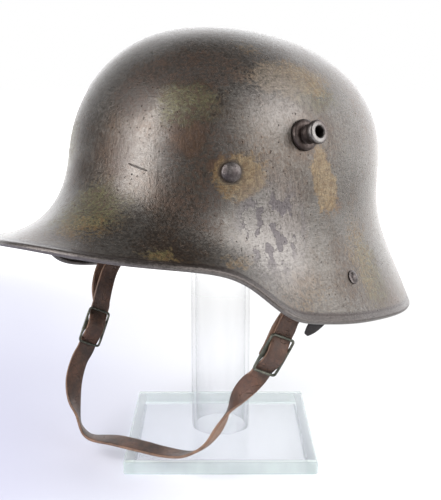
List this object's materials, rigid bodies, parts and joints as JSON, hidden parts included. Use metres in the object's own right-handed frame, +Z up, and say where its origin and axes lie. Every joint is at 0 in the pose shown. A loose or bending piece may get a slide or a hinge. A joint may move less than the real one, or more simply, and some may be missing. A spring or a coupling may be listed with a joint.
{
  "type": "steel combat helmet on a clear display stand",
  "caption": "Open steel helmet shell with visor, flared skirt, hollow side lugs, rivets and a draped leather chin strap with wire buckles, resting on a clear tube and square plate.",
  "frame": {"origin": "centre of the square plate's underside, which is on the stand tube's axis", "axes": "+X toward the wearer's left, -Y the way the visor points, +Z up from the plate to the crown"},
  "size_m": [0.2354, 0.3111, 0.2923],
  "materials": {
    "painted_steel": "dark worn paint with muted ochre, olive and red-brown camouflage, brushed and pitted",
    "worn_steel": "dark tarnished steel, brighter on worn edges",
    "buckle_steel": "grey-green tarnished wire",
    "leather": "old reddish-brown leather, creased and cracked",
    "clear_acrylic": "clear, polished",
    "clear_glass": "clear with greenish polished edges"
  },
  "bodies": {
    "root": {"helmet_shell": "painted_steel", "liner_rivet_left": "worn_steel", "liner_rivet_right": "worn_steel", "liner_rivet_rear": "worn_steel", "skirt_rivet_left": "worn_steel", "skirt_rivet_right": "worn_steel", "vent_lug_left": "worn_steel", "vent_lug_right": "worn_steel", "strap_lug_left": "worn_steel", "strap_lug_right": "worn_steel", "chin_strap": "leather", "torn_tab": "leather", "buckle_left": "buckle_steel", "buckle_right": "buckle_steel", "stand_tube": "clear_acrylic", "stand_plate": "clear_glass"}
  },
  "joints": []
}
